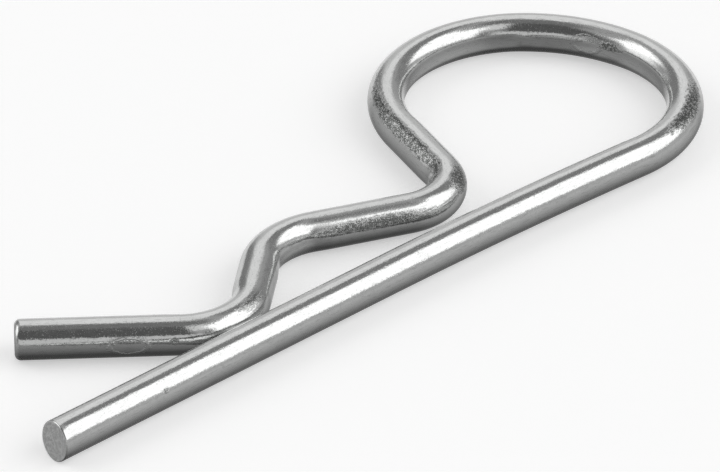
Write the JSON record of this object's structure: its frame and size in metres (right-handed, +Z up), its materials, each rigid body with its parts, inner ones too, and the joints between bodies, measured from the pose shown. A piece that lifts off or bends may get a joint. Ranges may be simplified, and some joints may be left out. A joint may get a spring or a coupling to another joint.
{
  "type": "spring cotter pin",
  "caption": "Hairpin cotter pin of bent round wire with a pull loop, a humped arm that grips a shaft and a straight leg for a cross hole.",
  "frame": {"origin": "centre of the bounding box in plan, on the surface the wire lies on", "axes": "+X along the leg from its free end towards the loop, +Y from the leg towards the arm, +Z up out of the plane of the wire"},
  "size_m": [0.094, 0.0336, 0.004],
  "materials": {
    "zinc_plated_wire": "bright zinc plating over drawn spring wire, with drawing streaks and tool marks"
  },
  "bodies": {
    "root": {"spring_wire": "zinc_plated_wire"}
  },
  "joints": []
}
